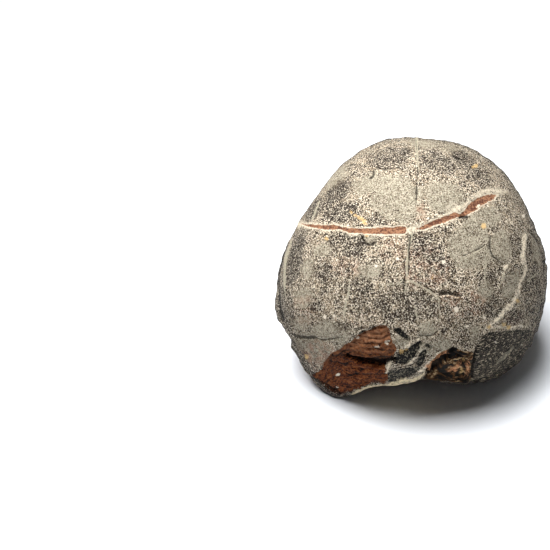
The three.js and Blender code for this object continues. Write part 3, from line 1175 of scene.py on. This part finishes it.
# %% Lobe, hollow and bits
LOBE_GREY = shade("12100e")
LOBE_PALE = shade("b8aa92")
HOLLOW_BROWN = shade("5e4126")
HOLLOW_TAN = shade("c0a680")
BLACK_SHELL_AND_GAP_SHADE = shade("171615")
BITS_PALE = shade("9d947f")

lobe_here = stone.measured("lobe").rise(-0.5, 0.5)


def streaks(lean):
    """Fine scratches that rise to the right by an angle, or fall if it is negative."""
    turn = (0, math.radians(lean), 0)
    mapping = {"Vector": place, "Rotation": turn, "Scale": (0.25, 1, 1.4)}
    turned_place = stone.node("ShaderNodeMapping", sockets=mapping)
    return stone.cloud(turned_place, 1.4, 2, 0.6)


scratched = streaks(42).most(streaks(-50) - 0.04)
lobe_colour = stone.blend(scratched.rise(0.6, 0.65), LOBE_GREY, LOBE_PALE)
lobe_colour = stone.blend(crumbs * 0.25, lobe_colour, LOBE_PALE)
shell = stone.blend(lobe_here * 0.95, shell, lobe_colour)

hollow_here = stone.measured("hollow").rise(-0.8, 1.0)
split = stone.cloud(bed_place, 1.5, 3, 0.6)
# Painted shade: black in the gaps between the hollow's split ledges.
hollow_colour = stone.blend(split.rise(0.46, 0.56), BLACK_SHELL_AND_GAP_SHADE, HOLLOW_BROWN)
hollow_colour = stone.blend(split.rise(0.55, 0.62) * fray.rise(0.4, 0.54), hollow_colour, HOLLOW_TAN)
shell = stone.blend(hollow_here, shell, hollow_colour)

bits_here = (stone.measured("bits") + 1.6 * (fray - 0.5)).rise(-0.3, 0.3)
bits_colour = stone.blend((grit + 0.6 * (sand_grain - 0.5)).rise(0.4, 0.33) * 0.6, BLACK_SHELL_AND_GAP_SHADE, BITS_PALE)
shell = stone.blend(bits_here, shell, bits_colour)
print("with lobe, hollow and bits:", len(stone.tree.nodes), "nodes")

# %% [markdown]
# ## Mudstone
# The filling is a red-brown mudstone. Its beds show as fine dark and light lines, with a few pale
# grains of sand, and it turns paler higher up the beds. Where it fills the long crack it is paler and pinker.

# %% Mudstone colours
MUD_RED = shade("50240b")
MUD_LIGHT = shade("8c572f")
MUD_DARK = shade("140a06")
MUD_UPPER_PALE = shade("966c4f")
CRACK_RED = shade("91694f")
CRACK_DARK = shade("55362a")

mud_here = (stone.measured("mud") + 1.2 * (fine_fray - 0.5)).rise(-0.2, 0.2)
bedding = 0.6 * stone.cloud(bed_place, 0.65, 3, 0.65) + 0.4 * stone.cloud(place, 1.0, 2, 0.6)
mud_colour = stone.blend(bedding.rise(0.49, 0.64) * 0.75, MUD_RED, MUD_LIGHT)
mud_colour = stone.blend(bedding.rise(0.49, 0.42), mud_colour, MUD_DARK)
paler_up_the_beds = stone.measured("bed").rise(-56, -38) * fray.rise(0.3, 0.6)
mud_colour = stone.blend(paler_up_the_beds * 0.7, mud_colour, MUD_UPPER_PALE)
surface = stone.blend(mud_here, shell, mud_colour)
print("with mudstone:", len(stone.tree.nodes), "nodes")

# %% [markdown]
# ## Calcite and filled cracks
# Calcite is the palest thing on the egg. It lines the long crack, and a vein of it runs down the right.
# The crack's own filling goes on after it, and then the rusty spots and the pale crumbs.

# %% Calcite, veins and spots
CALCITE = shade("c2b7a2")
VEIN_TAN = shade("e6d9c0")
FLAKE_TAN = shade("c98f66")
LIP_TAN_AND_HIGHLIGHT = shade("dccba6")
RUST = shade("c2a26c")

calcite_gap = stone.measured("calcite") + 2.6 * (fray - 0.5) + 1.2 * (fine_fray - 0.5)
calcite_dirt = (0.6 * stone.cloud(place, 1.5, 3, 0.65) + 0.4 * fine_fray).rise(0.4, 0.54)
surface = stone.blend(calcite_gap.rise(-0.6, 1.9) * (0.35 + 0.65 * calcite_dirt), surface, CALCITE)
edge_gap = stone.measured("red") + CALCITE_EDGE + 2.4 * (fray - 0.5) + 2.0 * (clump - 0.5)
edge_gap = edge_gap + 1.0 * (fine_fray - 0.5)
surface = stone.blend(edge_gap.rise(-0.3, 0.2) * (0.45 + 0.5 * calcite_dirt), surface, CALCITE)
vein_gap = stone.measured("vein") + 4.0 * (fray - 0.5) + 1.6 * (fine_fray - 0.5)
vein_colour = stone.blend(hollow_here, VEIN_TAN, FLAKE_TAN)
surface = stone.blend(vein_gap.rise(-0.4, 0.9) * (0.2 + 0.7 * calcite_dirt), surface, vein_colour)
lip_gap = stone.measured("lip") + 2.0 * (fray - 0.5)
# Partly painted highlight: the lips are painted pale where their broken edges catch the light.
surface = stone.blend(lip_gap.rise(-0.2, 0.4) * (0.1 + 0.8 * calcite_dirt), surface, LIP_TAN_AND_HIGHLIGHT)
red_gap = stone.measured("red") + 1.6 * (fine_fray - 0.5) + 1.5 * (fray - 0.5)
red_streak = stone.cloud(bed_place, 1.4, 3, 0.65)
red_colour = stone.blend((0.5 * red_streak + 0.5 * fine_fray).rise(0.44, 0.56), CRACK_DARK, CRACK_RED)
surface = stone.blend(red_gap.rise(-0.15, 0.15), surface, red_colour)
rust_gap = stone.measured("rust") + 3.4 * (fine_fray - 0.5)
surface = stone.blend(rust_gap.rise(-0.5, 0.7) * 0.8, surface, RUST)
crumb_gap = stone.measured("crumb") + 1.6 * (fine_fray - 0.5)
surface = stone.blend(crumb_gap.rise(-0.3, 0.4) * 0.9, surface, CREAM_SHELL)
print("with calcite:", len(stone.tree.nodes), "nodes")

# %% [markdown]
# ## Thin lines
# Pale strips go on first, then the dark lines, which are drawn where a point lies closer to the line than
# the line's half-width. The slits are blackened last of all, as painted shade in their gaps.

# %% Strips, hairlines and slits
STRIP_GREY = shade("a09985")
LINE_DARK_AND_SLIT_SHADE = shade("0d0a08")


def drawn(name):
    """How strongly a set of thin lines shows here, from 0 to 1."""
    stored = stone.node("ShaderNodeAttribute", {"attribute_name": name}, output="Vector")
    across, half_width, _ = stone.parts(stored)
    waver = 0.9 * (fine_fray - 0.5) + 0.9 * (clump - 0.5)
    return (half_width - abs(across + 1.0 * (fray - 0.5)) + waver).rise(-0.15, 0.15)


strips = drawn("strip_a").most(drawn("strip_b"))
surface = stone.blend(strips * (0.75 - 0.4 * lobe_here), surface, STRIP_GREY)
dark_line = drawn("line_a").most(drawn("line_b")).most(drawn("line_c"))
surface = stone.blend(dark_line * 0.75, surface, LINE_DARK_AND_SLIT_SHADE)
# Painted shade: the slits are blackened where their gaps fall into shadow.
slit_here = (stone.measured("slit") + 0.8 * (fine_fray - 0.5)).rise(-0.4, 0.2)
surface = stone.blend(slit_here * 0.9, surface, LINE_DARK_AND_SLIT_SHADE)
print("with lines:", len(stone.tree.nodes), "nodes")

# %% [markdown]
# ## Grain you can feel
# The relief that shows in outline is in the mesh. What is finer than that, the sandiness of the grain, is
# left to a bump. The stain lies slightly lower than the pale calcite, and everything is matt.

# %% Bump, roughness and the shader
BUMP_DEPTH = 0.6 * MM
height = grain * 0.6 + sand_grain * 0.4 - 0.4 * stained * (1 - mud_here)
height = height + bedding * 1.6 * mud_here + scratched * 2.4 * lobe_here - dark_line * 0.8 - slit_here
bumped = stone.node("ShaderNodeBump", sockets={"Strength": 1.0, "Distance": BUMP_DEPTH, "Height": height})
stone_roughness = 0.8 + 0.14 * grain
stone_sockets = {"Base Color": surface, "Roughness": stone_roughness, "Normal": bumped}
stone_sockets["Specular IOR Level"] = 0.12
shaded = stone.node("ShaderNodeBsdfPrincipled", sockets=stone_sockets)
stone.node("ShaderNodeOutputMaterial", sockets={"Surface": shaded})
egg_mesh.materials.append(stone.material)
print("nodes in the finish:", len(stone.tree.nodes))

# %% [markdown]
# ## The set
# The floor is a round white sheet and the backdrop a white dome that only the camera sees. Away from the
# egg the sheet fades out, before the light on it grows dim, so it runs into the white dome without an edge.

# %% Floor and backdrop
FLOOR_RADIUS = 1.0
FLOOR_FADE = (0.3, 0.6)  # metres from the egg
DOME_RADIUS = 5.0
PAPER = (0.68, 0.7, 0.73)


def staged(name, shape, paint):
    """Makes a piece of the set from a working mesh and a finish."""
    mesh = bpy.data.meshes.new(name)
    shape.to_mesh(mesh)
    shape.free()
    mesh.materials.append(paint.material)
    piece = bpy.data.objects.new(name, mesh)
    bpy.context.scene.collection.objects.link(piece)
    return piece


sheet = bmesh.new()
bmesh.ops.create_circle(sheet, cap_ends=True, segments=96, radius=FLOOR_RADIUS)
paper = Finish("white paper")
floor_place = paper.node("ShaderNodeTexCoord", output="Object")
away = paper.node("ShaderNodeVectorMath", {"operation": "LENGTH"}, {0: floor_place}, output="Value")
white = paper.node("ShaderNodeBsdfDiffuse", sockets={"Color": filled_in(PAPER)})
clear = paper.node("ShaderNodeBsdfTransparent")
faded = paper.node("ShaderNodeMixShader", sockets={0: away.rise(*FLOOR_FADE), 1: white, 2: clear})
paper.node("ShaderNodeOutputMaterial", sockets={"Surface": faded})
floor = staged("floor", sheet, paper)
ball = bmesh.new()
bmesh.ops.create_uvsphere(ball, u_segments=48, v_segments=24, radius=DOME_RADIUS)
bmesh.ops.reverse_faces(ball, faces=ball.faces)
glow = Finish("white glow")
glowing = glow.node("ShaderNodeEmission", sockets={"Color": (1, 1, 1, 1), "Strength": 1.0})
glow.node("ShaderNodeOutputMaterial", sockets={"Surface": glowing})
dome = staged("backdrop", ball, glow)
dome.visible_diffuse = False
dome.visible_glossy = False
dome.visible_transmission = False
dome.visible_shadow = False
print("set:", floor.name, "and", dome.name)

# %% [markdown]
# ## Light
# A single large soft box hangs above, a little to the left, so the crown is bright and the shadow falls
# forwards and right. The room adds a faint even light, so the shadows do not go black.

# %% Lights
KEY_PLACE = Vector((-0.2, -0.03, 0.955))
KEY_SIZE = 0.62
KEY_POWER = 31.5
ROOM_LIGHT = 0.105

key_data = bpy.data.lights.new("soft box", "AREA")
key_data.shape = "SQUARE"
key_data.size = KEY_SIZE
key_data.energy = KEY_POWER
key_light = bpy.data.objects.new("soft box", key_data)
key_light.location = EGG_MIDDLE + KEY_PLACE
key_light.rotation_euler = (-KEY_PLACE).to_track_quat("-Z", "Y").to_euler()
bpy.context.scene.collection.objects.link(key_light)

world = bpy.data.worlds.new("soft room")
world.use_nodes = True
world.node_tree.nodes["Background"].inputs["Color"].default_value = (1, 1, 1, 1)
world.node_tree.nodes["Background"].inputs["Strength"].default_value = ROOM_LIGHT
bpy.context.scene.world = world
bpy.context.scene.view_settings.view_transform = "Standard"
print("soft box:", KEY_SIZE, "m,", KEY_POWER, "W")

# %% [markdown]
# ## The camera
# A long lens looks down at 40 degrees. The egg sits right of the middle of the frame, so the camera is
# aimed a little to its left, turned about the sheet's own up direction to keep the egg level.

# %% Camera
LENS = 100
SIDE_STEP = 0.0800
DROP = 0.0030
camera_data = bpy.data.cameras.new("camera")
camera_data.lens = LENS
camera_data.sensor_width = 36
camera = bpy.data.objects.new("camera", camera_data)
eye = EGG_MIDDLE + show.out * EYE_DISTANCE
looking = (EGG_MIDDLE - show.right * SIDE_STEP - show.up * DROP - eye).normalized()
level_line = looking.cross(show.up).normalized()
turned = Matrix((level_line, level_line.cross(looking), -looking)).transposed()
camera.matrix_world = Matrix.Translation(eye) @ turned.to_4x4()
bpy.context.scene.collection.objects.link(camera)
bpy.context.scene.camera = camera
print("camera at, m:", [round(part, 3) for part in eye])
